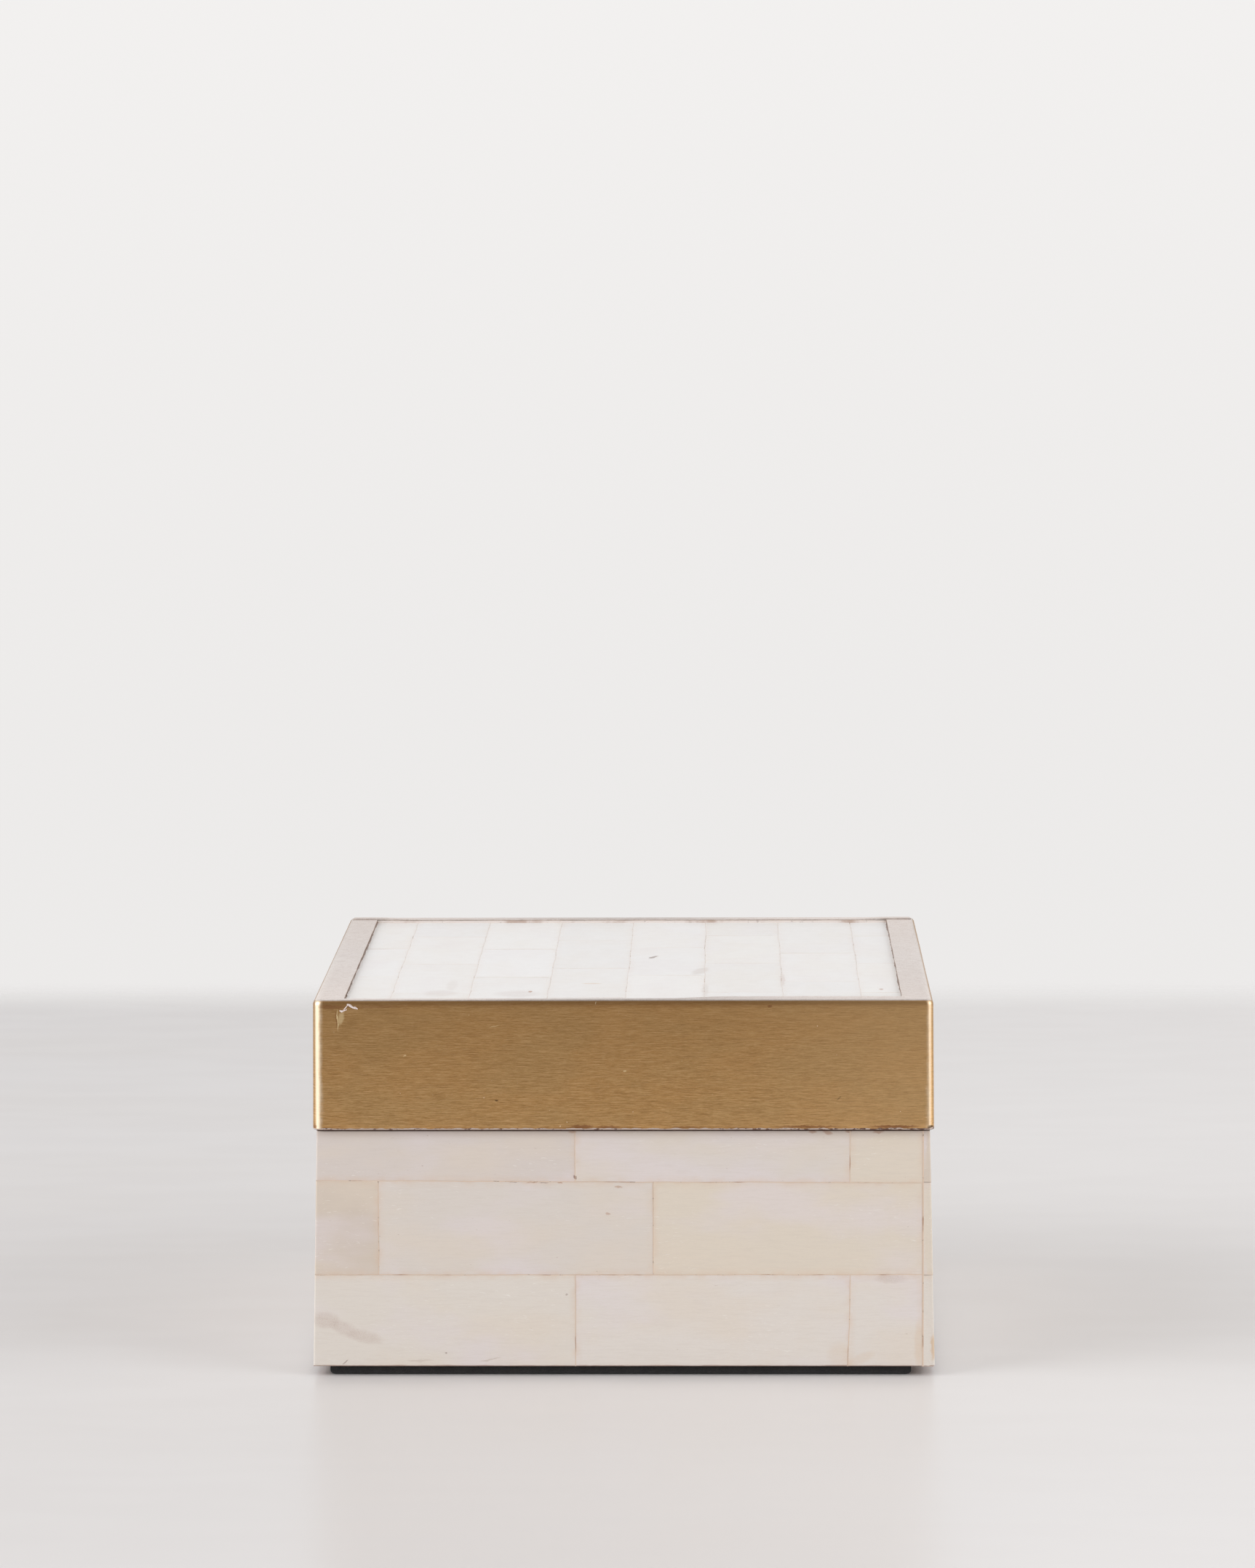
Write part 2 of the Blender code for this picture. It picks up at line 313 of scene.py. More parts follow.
# Marks on the front: place across and up, half length and half height, tilt, tone and strength.
FRONT_MARKS = (
    ((-61.2, 11.6), (3.6, 2.2), 4, "pores", 0.36),
    ((-57.6, 9.9), (3.8, 1.8), 24, "pores", 0.34),
    ((-53.2, 8.1), (4.6, 1.7), 12, "pores", 0.36),
    ((54.8, 20.3), (4.2, 1.3), 0, "pores", 0.34),
    ((48.6, 3.4), (4.2, 1.3), -28, "ochre", 0.15),
    ((44.6, 4.4), (3.6, 3.2), 20, "ochre", 0.13),
    ((60.6, 6.5), (1.2, 6.0), 0, "ochre", 0.2),
    ((63.6, 6.0), (0.7, 3.4), 0, "ochre", 0.6),
    ((-57.3, 2.9), (0.9, 0.2), -35, "dark", 0.5),
    ((-27.5, 3.4), (2.6, 0.25), -14, "tan", 0.5),
    ((-42.0, 3.2), (3.4, 0.3), 0, "tan", 0.4),
    ((-36.5, 4.7), (0.3, 0.2), 0, "dark", 0.5),
    ((-11.6, 17.0), (0.3, 0.25), 0, "dark", 0.4),
    ((-9.9, 41.2), (0.35, 0.6), 0, "dark", 0.85),
    ((-18.5, 40.3), (1.6, 0.22), 0, "rust", 0.6),
    ((-22.6, 40.3), (1.4, 0.13), 0, "dark", 0.6),
    ((-16.2, 40.2), (1.2, 0.12), 0, "dark", 0.6),
    ((-13.0, 40.2), (0.8, 0.12), 0, "rust", 0.8),
    ((-3.2, 33.6), (0.7, 0.3), 20, "rust", 0.45),
    ((-1.0, 39.3), (1.1, 0.25), 0, "rust", 0.5),
    ((-55.0, 30.0), (6.0, 7.0), 0, "tan", 0.10),
    ((38.7, 50.7), (1.0, 0.5), 0, "rust", 0.6),
    ((41.8, 50.6), (1.3, 0.6), 20, "rust", 0.6),
    ((46.2, 50.8), (0.8, 0.4), 0, "rust", 0.6),
    ((52.2, 50.7), (1.5, 0.5), 0, "rust", 0.6),
    ((-10.4, 50.9), (1.0, 0.4), 0, "rust", 0.5),
)

# Marks on the lid: place across and back, half sizes, turn, tone and strength.
LID_MARKS = (
    ((5.5, 3.6), (0.8, 2.9), -20, "dark", 0.6),
    ((15.6, -17.4), (1.9, 7.0), -12, "tan", 0.3),
    ((-19.5, -46.9), (0.45, 1.6), 0, "rust", 0.7),
    ((-6.9, -35.5), (2.6, 0.9), 0, "ochre", 0.35),
    ((-37.6, -58.3), (3.6, 1.0), 5, "rust", 0.3),
    ((53.3, -44.0), (0.6, 1.5), 0, "rust", 0.5),
    ((-36.0, -38.0), (1.5, 10.0), 0, "tan", 0.14),
    ((-38.0, -49.0), (4.5, 6.0), 0, "pores", 0.26),
    ((-22.0, -50.0), (6.0, 6.0), 0, "pores", 0.26),
    ((16.8, -45.0), (1.0, 11.0), 0, "tan", 0.22),
    ((33.0, -30.0), (0.7, 12.0), 0, "rust", 0.18),
)


def paint_marks(finish, colour, marks, to_place, to_size, to_turn):
    """Lays each mark over the colour, and returns it with how much of any mark there is."""
    place = finish.jitter(finish.mm, 0.7, 0.5)
    pores = finish.ramp(finish.noise(finish.mm, 4.5, 3.0, 0.7), 0.48, 0.64, 0.5, 1.0)
    worn = 0.0
    for centre, size, turn, tone, strength in marks:
        shade, porous = MARK_TONES[tone]
        mask = finish.blot(place, to_place(*centre), to_size(*size), to_turn(turn))
        share = finish.times(mask, strength)
        if porous:
            share = finish.times(share, pores)
        colour = finish.mix(share, colour, shade)
        worn = finish.maths("MAXIMUM", worn, share)
    return colour, worn


def bone_base(finish, tone, clouds, warmth):
    """Bone's colour and grain. The tile_mm layer runs along, across and into each tile."""
    tile = finish.layer("tile_mm", "Vector")
    rim = finish.layer("rim", "Fac")
    cloud = finish.grain(tile, (0.05, 0.10, 0.3), 4.0)
    blush = finish.grain(tile, (0.04, 0.08, 0.7), 3.0)
    streak = finish.grain(finish.jitter(tile, 0.15, 0.5), (0.22, 2.4, 0.9), 4.0, 0.6)
    fibre = finish.grain(tile, (1.3, 7.0, 3.0), 4.0, 0.7)
    colour = finish.mix(finish.ramp(cloud, 0.4, 0.68, 0.0, clouds), tone, (0.78, 0.68, 0.57))
    colour = finish.tint(colour, blush, 0.48, 0.7, 1.3 * clouds, (0.78, 0.71, 0.73))
    colour = finish.tint(colour, streak, 0.4, 0.75, 0.35 * clouds, (0.60, 0.52, 0.45))
    colour = finish.tint(colour, fibre, 0.4, 0.7, 0.25 * clouds, (0.62, 0.53, 0.46))

    # Short pale fibres that lie a little askew, in patches.
    bent = finish.jitter(tile, 0.25, 1.0)
    hairs = finish.ramp(finish.grain(bent, (0.55, 4.2, 2.0), 1.5, 0.3), 0.69, 0.74)
    patches = finish.ramp(finish.grain(tile, (0.04, 0.08, 0.5), 2.0), 0.48, 0.62)
    colour = finish.mix(
        finish.times(finish.times(hairs, patches), 0.38), colour, (0.93, 0.90, 0.86)
    )

    # Stain from the filler, along the joints.
    soak = finish.times(rim, finish.ramp(finish.noise(tile, 0.35, 4.0), 0.3, 0.7, 0.1, 1.0))
    colour = finish.mix(finish.times(soak, warmth), colour, (0.72, 0.52, 0.38))
    pores = finish.ramp(finish.grain(tile, (1.0, 2.8, 2.0), 1.5, 0.3), 0.80, 0.84)
    colour = finish.mix(finish.times(pores, 0.4), colour, (0.40, 0.27, 0.21))
    return colour, streak, fibre, pores


def finish_bone(finish, colour, streak, fibre, pits, gloss):
    """Gives the bone its colour, its sheen, and relief from its grain, pits and wear."""
    wear = finish.noise(finish.mm, 0.35, 4.0)
    roughness = finish.ramp(wear, 0.3, 0.7, gloss, gloss + 0.1)
    finish.set("Base Color", colour)
    finish.set("Roughness", finish.plus(roughness, finish.times(pits, 0.25)))
    finish.set("IOR", 1.5)
    grain = finish.plus(streak, finish.times(fibre, 0.6))
    lines = finish.bump(grain, 0.2, 0.02)
    holes = finish.bump(finish.minus(1.0, pits), 0.5, 0.05, lines)
    finish.set("Normal", finish.bump(wear, 0.2, 0.1, holes))
    return finish.material


def make_side_bone():
    finish = Finish("side_bone")
    tone = finish.layer("tile_tone", "Color")
    colour, streak, fibre, flecks = bone_base(finish, tone, 0.42, 0.34)
    colour, worn = paint_marks(
        finish,
        colour,
        FRONT_MARKS,
        lambda x, z: (x, -side_half(z * MM) / MM, z),
        lambda along, up: (along, 1.5, up),
        lambda turn: (0, turn, 0),
    )
    height = finish.axis(finish.mm, "Z")
    # Darker brown along the very foot of the bone, over its lowest few tenths of a millimetre.
    foot = FOOT_LOW.z / MM
    uneven = finish.plus(height, finish.ramp(streak, 0.3, 0.7, -0.1, 0.1))
    dirt = finish.ramp(uneven, foot + 0.35, foot + 0.1)
    colour = finish.mix(finish.times(dirt, 0.6), colour, (0.30, 0.13, 0.08))
    # Painted shade under the lid: the top of the top course is darkened to a warm brown over its last 2.2
    # mm.
    shoulder = SHOULDER_HIGH.z / MM
    shade_under_lid = finish.ramp(height, shoulder - 2.2, shoulder, 0.0, 0.35)
    colour = finish.mix(shade_under_lid, colour, (0.46, 0.35, 0.28))
    return finish_bone(finish, colour, streak, fibre, finish.maths("MAXIMUM", flecks, worn), 0.36)


def make_lid_bone():
    finish = Finish("lid_bone")
    tone = finish.layer("tile_tone", "Color")
    colour, streak, fibre, flecks = bone_base(finish, tone, 0.12, 0.12)
    colour, worn = paint_marks(
        finish,
        colour,
        LID_MARKS,
        lambda x, y: (x, y, LID_TOP / MM - 0.6),
        lambda along, back: (along, back, 1.5),
        lambda turn: (0, 0, turn),
    )
    return finish_bone(finish, colour, streak, fibre, finish.maths("MAXIMUM", flecks, worn), 0.3)


def make_filler(name, light, dark, dirt):
    """Wax and glue in the joints: light, with darker stretches and specks of dirt."""
    finish = Finish(name)
    stretches = finish.ramp(finish.noise(finish.mm, 0.2, 3.0), 0.52, 0.74)
    specks = finish.ramp(finish.noise(finish.mm, 0.9, 3.0, 0.6), 0.6, 0.7)
    colour = finish.mix(stretches, light, dark)
    colour = finish.mix(finish.times(specks, dirt), colour, (0.14, 0.075, 0.05))
    finish.set("Base Color", colour)
    finish.set("Roughness", finish.ramp(specks, 0.0, 1.0, 0.5, 0.75))
    finish.set("Normal", finish.bump(finish.noise(finish.mm, 3.0), 0.6, 0.1))
    return finish.material


# The band's edges in millimetres, as its material needs them.
BAND_BOTTOM = LID_BOTTOM / MM
BAND_TOP = LID_TOP / MM

# What a mark on the brass looks like.
BRASS_TONES = {
    "bright": (0.95, 0.74, 0.42),
    "rust": (0.25, 0.10, 0.045),
    "dark": (0.06, 0.03, 0.02),
}

# Marks on the brass front, as on the bone: place, half sizes, tilt, tone and strength.
BRASS_MARKS = (
    # The first three marks are painted light on the crease: a painted highlight on its right, a painted
    # shade on its left in the rust tone, and a lighter facet as a painted reflection.
    ((-58.30, 74.0), (0.13, 2.9), -2, "bright", 0.9),
    ((-58.62, 74.3), (0.12, 2.6), -2, "rust", 0.5),
    ((-57.6, 74.4), (0.7, 1.9), 12, "bright", 0.55),
    ((-59.5, 76.7), (3.2, 0.6), 0, "rust", 0.5),
    ((-51.0, 76.7), (8.0, 0.35), 0, "rust", 0.3),
    ((-8.4, 51.9), (3.0, 0.55), 0, "rust", 0.7),
    ((-3.0, 51.8), (3.4, 0.4), 0, "rust", 0.6),
    ((14.0, 51.8), (5.0, 0.3), 0, "rust", 0.4),
    ((38.0, 51.9), (9.0, 0.3), 0, "rust", 0.6),
    ((55.5, 51.9), (6.5, 0.4), 0, "rust", 0.75),
    ((63.1, 51.7), (1.0, 0.6), 0, "dark", 0.85),
    ((-63.3, 51.9), (0.7, 0.7), 0, "rust", 0.6),
    ((-25.9, 57.3), (0.42, 0.2), 0, "dark", 0.75),
    ((44.2, 57.8), (0.7, 0.16), -40, "dark", 0.4),
    ((30.0, 76.9), (0.5, 0.4), 0, "rust", 0.6),
    ((-26.2, 72.7), (1.3, 0.12), -14, "bright", 0.45),
    ((0.4, 63.5), (0.35, 0.25), 0, "bright", 0.7),
    ((-44.6, 66.6), (0.4, 0.16), -20, "bright", 0.6),
)


def brushed_colour(finish, streaks, hairs, lines):
    """Bright and dark scratches over two close tones of brass."""
    broad = finish.grain(finish.mm, (0.05, 0.05, 0.10), 4.0)
    colour = finish.mix(finish.ramp(broad, 0.4, 0.62), (0.60, 0.34, 0.13), (0.56, 0.335, 0.135))
    colour = finish.tint(colour, streaks, 0.48, 0.68, 0.65, (0.78, 0.50, 0.245))
    colour = finish.tint(colour, streaks, 0.5, 0.32, 0.65, (0.34, 0.185, 0.068))
    colour = finish.tint(colour, hairs, 0.45, 0.72, 0.55, (0.82, 0.55, 0.28))
    colour = finish.tint(colour, hairs, 0.5, 0.28, 0.5, (0.32, 0.175, 0.065))
    return finish.tint(colour, lines, 0.5, 0.72, 0.28, (0.37, 0.20, 0.08))


def brass_patina(finish, height):
    """How much browner the brass is where it was cleaned least: under the fold, and at the bottom."""
    blotches = finish.grain(finish.mm, (0.18, 0.18, 0.5), 5.0)
    above = finish.plus(height, finish.times(blotches, 1.4))
    below = finish.minus(height, finish.times(blotches, 1.8))
    under_fold = finish.ramp(above, BAND_TOP - 1.2, BAND_TOP - 0.1)
    at_bottom = finish.ramp(below, BAND_BOTTOM, BAND_BOTTOM - 0.7)
    return finish.times(finish.maths("MAXIMUM", under_fold, at_bottom), 0.4)


def painted_corner_highlights(finish, across):
    """How far the brass is painted pale down the rounded corners, a little in from the very edge: a painted
    highlight of the lamps on them.
    """
    half = LID_HALF / MM
    ragged = finish.times(finish.grain(finish.mm, (1.0, 1.0, 0.5), 4.0, 0.6), 1.2)
    from_right = finish.plus(finish.minus(half, across), ragged)
    from_left = finish.plus(finish.plus(half, across), ragged)
    left = finish.ramp(from_left, 2.9, 1.5)
    right = finish.ramp(from_right, 2.4, 1.0, 0.0, 0.8)
    edge = finish.minus(half, finish.maths("ABSOLUTE", across))
    # This mask is the painted highlight's share.
    worn = finish.times(finish.maths("MAXIMUM", left, right), finish.ramp(edge, 0.25, 0.75))
    return finish.times(worn, 0.7)


def brass_specks(finish, colour):
    """Bright specks in clusters, then the marks on the front."""
    place = finish.mm
    clusters = finish.ramp(finish.noise(place, 0.11, 2.0), 0.5, 0.62)
    glints = finish.ramp(finish.noise(place, 1.7, 1.0, 0.2), 0.79, 0.82)
    colour = finish.mix(finish.times(glints, clusters), colour, (0.95, 0.78, 0.55))
    marked = finish.jitter(place, 1.1, 0.35)
    for (x, z), (along, up), turn, tone, strength in BRASS_MARKS:
        mask = finish.blot(marked, (x, -LID_HALF / MM, z), (along, 1.5, up), (0, turn, 0))
        colour = finish.mix(finish.times(mask, strength), colour, BRASS_TONES[tone])
    return colour


def pale_tab_glue_and_reflection(finish, colour, height):
    """The flat tops of the folded-over tabs are made pale: partly old glue and polish, partly a painted
    reflection of the pale backdrop.
    """
    flat_top = finish.ramp(height, BAND_TOP - 0.30, BAND_TOP - 0.10)
    smears = finish.grain(finish.mm, (0.5, 2.2, 1.0), 4.0, 0.65)
    weave = finish.grain(finish.mm, (3.0, 0.5, 1.0), 3.0, 0.6)
    pale_tab_colour = finish.mix(finish.ramp(smears, 0.35, 0.65), (0.82, 0.74, 0.70), (0.94, 0.88, 0.85))
    pale_tab_colour = finish.tint(pale_tab_colour, weave, 0.45, 0.7, 0.4, (0.70, 0.62, 0.57))
    return finish.mix(finish.times(flat_top, 0.92), colour, pale_tab_colour)


def hem_glue_and_painted_light(finish, height, across):
    """A pale line on the lower edge, broken by brown spots: partly old glue, partly a painted highlight
    along the edge, with a painted shadow under it. Gives where it is, and its colour.
    """
    dirt = (0.14, 0.07, 0.05)
    waver = finish.ramp(finish.noise(finish.mm, 0.5, 4.0), 0.3, 0.7, -0.12, 0.12)
    hem = finish.ramp(finish.plus(height, waver), BAND_BOTTOM + 0.42, BAND_BOTTOM + 0.34)
    dirtier = finish.ramp(across, -10.0, 60.0, 0.0, 0.10)
    breaks = finish.plus(finish.grain(finish.mm, (0.9, 0.9, 2.0), 4.0, 0.6), dirtier)
    colour = finish.mix(finish.ramp(breaks, 0.57, 0.64), (0.56, 0.46, 0.40), dirt)
    # Painted shadow: the lowest tenths of a millimetre of the band are darkened as the shadow of the gap
    # under the lid.
    painted_gap_shadow = finish.ramp(height, BAND_BOTTOM + 0.20, BAND_BOTTOM + 0.06, 0.0, 0.7)
    return hem, finish.mix(painted_gap_shadow, colour, dirt)


def make_brass():
    """Brass brushed along its sides, darker along its edges, with old glue on its lower edge. Painted light
    is laid over it too: painted shade towards the top, a painted reflection lighter towards the right,
    painted highlights down the corners, a painted reflection on the tabs, a painted highlight along the
    lower edge and a painted shadow under it.
    """
    finish = Finish("brushed_brass")
    height = finish.axis(finish.mm, "Z")
    across = finish.axis(finish.mm, "X")
    lines = finish.grain(finish.mm, (0.09, 0.09, 6.5), 3.0, 0.6)
    streaks = finish.grain(finish.mm, (0.28, 0.28, 5.5), 5.0, 0.7)
    hairs = finish.grain(finish.mm, (0.95, 0.95, 12.0), 4.0, 0.75)

    colour = brushed_colour(finish, streaks, hairs, lines)
    # Painted shade: the brass is darkened towards the top of the band, standing in for the darker
    # reflections there.
    painted_top_shade = finish.ramp(height, BAND_BOTTOM, BAND_TOP, 0.0, 0.36)
    colour = finish.mix(painted_top_shade, colour, (0.34, 0.19, 0.075))
    patina = brass_patina(finish, height)
    colour = finish.mix(patina, colour, (0.30, 0.14, 0.05))
    # Painted reflection: the brass is made lighter towards the right.
    colour = finish.tint(colour, across, 15.0, 62.0, 0.22, (0.80, 0.53, 0.27))
    # Painted highlight: the brass is made pale down the rounded corners.
    colour = finish.mix(painted_corner_highlights(finish, across), colour, (0.97, 0.86, 0.68))
    colour = brass_specks(finish, colour)
    # Old glue and a painted reflection: the tabs' flat tops are made pale.
    colour = pale_tab_glue_and_reflection(finish, colour, height)
    # A pale line on the lower edge: old glue and a painted highlight, with a painted shadow under it.
    hem, hem_colour = hem_glue_and_painted_light(finish, height, across)
    finish.set("Base Color", finish.mix(hem, colour, hem_colour))
    finish.set("Metallic", finish.ramp(hem, 0.0, 1.0, 1.0, 0.0))

    rough = finish.ramp(streaks, 0.3, 0.7, 0.37, 0.285)
    rough = finish.plus(rough, finish.times(patina, 0.2))
    finish.set("Roughness", finish.plus(rough, finish.times(hem, 0.2)))
    finish.set("Anisotropic", 0.7)
    finish.set("Anisotropic Rotation", 0.25)
    tangent = finish.node("ShaderNodeTangent", direction_type="RADIAL", axis="Z").outputs[0]
    finish.set("Tangent", tangent)
    grooves = finish.plus(finish.plus(streaks, hairs), lines)
    brushed = finish.bump(grooves, 0.35, 0.015)
    finish.set("Normal", finish.bump(finish.noise(finish.mm, 0.4), 0.15, 0.06, brushed))
    return finish.material


def make_wood(name, along):
    """Brown carcass wood, with its grain along X or Y."""
    finish = Finish(name)
    scale = {"x": (0.02, 0.35, 0.35), "y": (0.35, 0.02, 0.35)}[along]
    fine = tuple(s * 7 for s in scale)
    wavy = finish.jitter(finish.mm, 0.03, 3.0)
    rings = finish.grain(wavy, scale, 5.0, 0.6)
    pores = finish.grain(finish.mm, fine, 3.0, 0.7)
    wear = finish.noise(finish.mm, 0.12, 4.0)
    colour = finish.mix(finish.ramp(rings, 0.35, 0.65), (0.20, 0.095, 0.045), (0.36, 0.19, 0.09))
    colour = finish.tint(colour, pores, 0.55, 0.7, 0.6, (0.10, 0.045, 0.022))
    colour = finish.tint(colour, wear, 0.55, 0.75, 0.3, (0.42, 0.27, 0.15))
    finish.set("Base Color", colour)
    finish.set("Roughness", finish.ramp(pores, 0.3, 0.7, 0.5, 0.68))
    grain = finish.plus(rings, pores)
    finish.set("Normal", finish.bump(grain, 0.5, 0.15))
    return finish.material


def make_felt(name, colour, fluff):
    finish = Finish(name)
    fibres = finish.noise(finish.jitter(finish.mm, 0.8, 1.2), 5.0, 5.0, 0.7)
    clumps = finish.noise(finish.mm, 0.4, 3.0)
    shade = finish.mix(finish.ramp(fibres, 0.3, 0.7), tuple(0.5 * c for c in colour), fluff)
    shade = finish.tint(shade, clumps, 0.4, 0.7, 0.4, colour)
    finish.set("Base Color", shade)
    finish.set("Roughness", finish.ramp(clumps, 0.3, 0.7, 0.88, 0.98))
    finish.set("Sheen Weight", 0.12)
    finish.set("Sheen Roughness", 0.5)
    finish.set("Normal", finish.bump(fibres, 0.8, 0.3, finish.bump(clumps, 0.4, 0.5)))
    return finish.material


def make_flake_finish():
    finish = Finish("torn_paper")
    shade = finish.noise(finish.mm, 2.5, 3.0)
    colour = finish.mix(finish.ramp(shade, 0.3, 0.7), (0.62, 0.50, 0.46), (0.90, 0.80, 0.77))
    finish.set("Base Color", colour)
    finish.set("Roughness", finish.ramp(shade, 0.3, 0.7, 0.6, 0.8))
    finish.set("Normal", finish.bump(shade, 0.5, 0.1))
    return finish.material


def make_table_finish():
    """A pale satin table top, painted lighter towards the right, whose far edge fades into the backdrop."""
    finish = Finish("pale_table")
    cloud = finish.grain(finish.mm, (0.004, 0.012, 0.0), 1.0)
    dust = finish.grain(finish.mm, (0.03, 0.08, 0.0), 1.0)
    colour = finish.mix(finish.ramp(cloud, 0.3, 0.7), (0.675, 0.65, 0.642), (0.69, 0.67, 0.67))
    # Painted light: the table is made lighter towards the right.
    side = finish.ramp(finish.axis(finish.mm, "X"), -200, 200)
    colour = finish.mix(side, colour, (0.79, 0.768, 0.762))
    finish.set("Base Color", colour)
    finish.set("Roughness", finish.ramp(dust, 0.3, 0.7, 0.29, 0.34))
    finish.set("Specular IOR Level", 0.35)
    finish.set("Alpha", finish.ramp(finish.axis(finish.mm, "Y"), TABLE_FADE / MM, TABLE_END / MM, 1.0, 0.0))
    return finish.material


# --- Closed blocks with a worked face ---


def stops(start, end, step=GRID):
    """Places from start to end: close together near both ends, evenly spaced between."""
    inner = end - start - 2 * RIM_STOPS[-1]
    count = max(2, round(inner / step))
    middle = [RIM_STOPS[-1] + inner * i / count for i in range(1, count)]
    far = [end - start - place for place in reversed(RIM_STOPS)]
    return [start + place for place in (*RIM_STOPS, *middle, *far)]


def rim_drop(distance, rim):
    """How far an eased rim of this radius lies below the face, this far in from the edge."""
    if distance >= rim:
        return 0.0
    return rim - math.sqrt(max(rim * rim - (rim - distance) ** 2, 0.0))


def closed_block(columns, rows, front, back, joint_distance=None):
    """A closed mesh: a grid of points at its front, whose outline runs straight to its back.

    front(column, row) and back(column, row) give points. The tile_mm layer keeps each vertex's
    place along, across and into the block, in millimetres. The rim layer is 1 at a joint.
    """
    mesh = bmesh.new()
    layer = mesh.verts.layers.float_vector.new("tile_mm")
    rim_layer = mesh.verts.layers.float.new("rim")
    grid = []
    for column in columns:
        line = []
        for row in rows:
            vertex = mesh.verts.new(front(column, row))
            vertex[layer] = Vector((column, row, 0.0)) / MM
            if joint_distance:
                vertex[rim_layer] = 1 - smooth(0, STAIN, joint_distance(column, row))
            line.append(vertex)
        grid.append(line)
    for left, right in zip(grid, grid[1:]):
        for i in range(len(rows) - 1):
            mesh.faces.new((left[i], right[i], right[i + 1], left[i + 1]))
    last = len(rows) - 1
    outline = [(i, 0) for i in range(len(columns))]
    outline += [(len(columns) - 1, j) for j in range(1, last)]
    outline += [(i, last) for i in reversed(range(len(columns)))]
    outline += [(0, j) for j in reversed(range(1, last))]
    rim = [grid[i][j] for i, j in outline]
    behind = []
    for i, j in outline:
        point = Vector(back(columns[i], rows[j]))
        vertex = mesh.verts.new(point)
        depth = (point - grid[i][j].co).length
        vertex[layer] = Vector((columns[i], rows[j], depth)) / MM
        vertex[rim_layer] = grid[i][j][rim_layer]
        behind.append(vertex)
    skin(mesh, [rim, behind])
    mesh.faces.new(behind)
    return mesh


def give_tone(piece, tone, seed):
    """Stores the tile's own colour, and moves its grain away from its neighbours' grain."""
    count = len(piece.data.vertices)
    layer = piece.data.attributes.new("tile_tone", "FLOAT_COLOR", "POINT")
    layer.data.foreach_set("color", (*tone, 1.0) * count)
    grain = piece.data.attributes["tile_mm"]
    shift = Vector((seed * 31.7, seed * 7.3, seed * 11.9))
    for item in grain.data:
        item.vector = Vector(item.vector) + shift


# --- Side tiles ---


def tile_span(course, place):
    """A front tile's ends and levels with its joints nearly closed. None stands for the corner."""
    low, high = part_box("_".join(("bone_front", course, place)))
    left = None if place == "left" else low.x - TIGHTEN
    right = high.x + (0 if place == "right" else TIGHTEN)
    bottom = low.z if course == "bottom" else low.z - TIGHTEN
    top = high.z if course == "top" else high.z + TIGHTEN
    return left, right, bottom, top


def course_shift(turn, joint, across):
    """How far the joint over this course strays upwards. Nothing strays at the foot and the shoulder."""
    if joint in (0, len(COURSES)):
        return 0.0
    stray = ripple(across, turn, joint, 11 * MM) + 0.4 * ripple(across, turn, joint + 9, 1.7 * MM)
    slope = COURSE_SLOPE / 4 - COURSE_SLOPE * across / (2 * LID_HALF)
    return WANDER["side"] * stray + (slope if joint == 2 and turn == 0 else 0.0)


def seam_shift(turn, course, seam, up):
    """How far the seam at this end of a tile strays to the right. The corners don't stray."""
    if seam in (0, len(PLACES)):
        return 0.0
    place = 4 * turn + COURSES.index(course)
    stray = ripple(up, place, seam, 7 * MM) + 0.4 * ripple(up, place, seam + 9, 1.5 * MM)
    bend = 0.0
    if turn == 0 and course == "bottom" and seam == 2:
        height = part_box("bone_front_bottom_centre")[1].z
        bend = -BENT_SEAM * (1 - smooth(FOOT_LOW.z - 6 * MM, height - 4 * MM, up))
    return WANDER["side"] * stray + bend


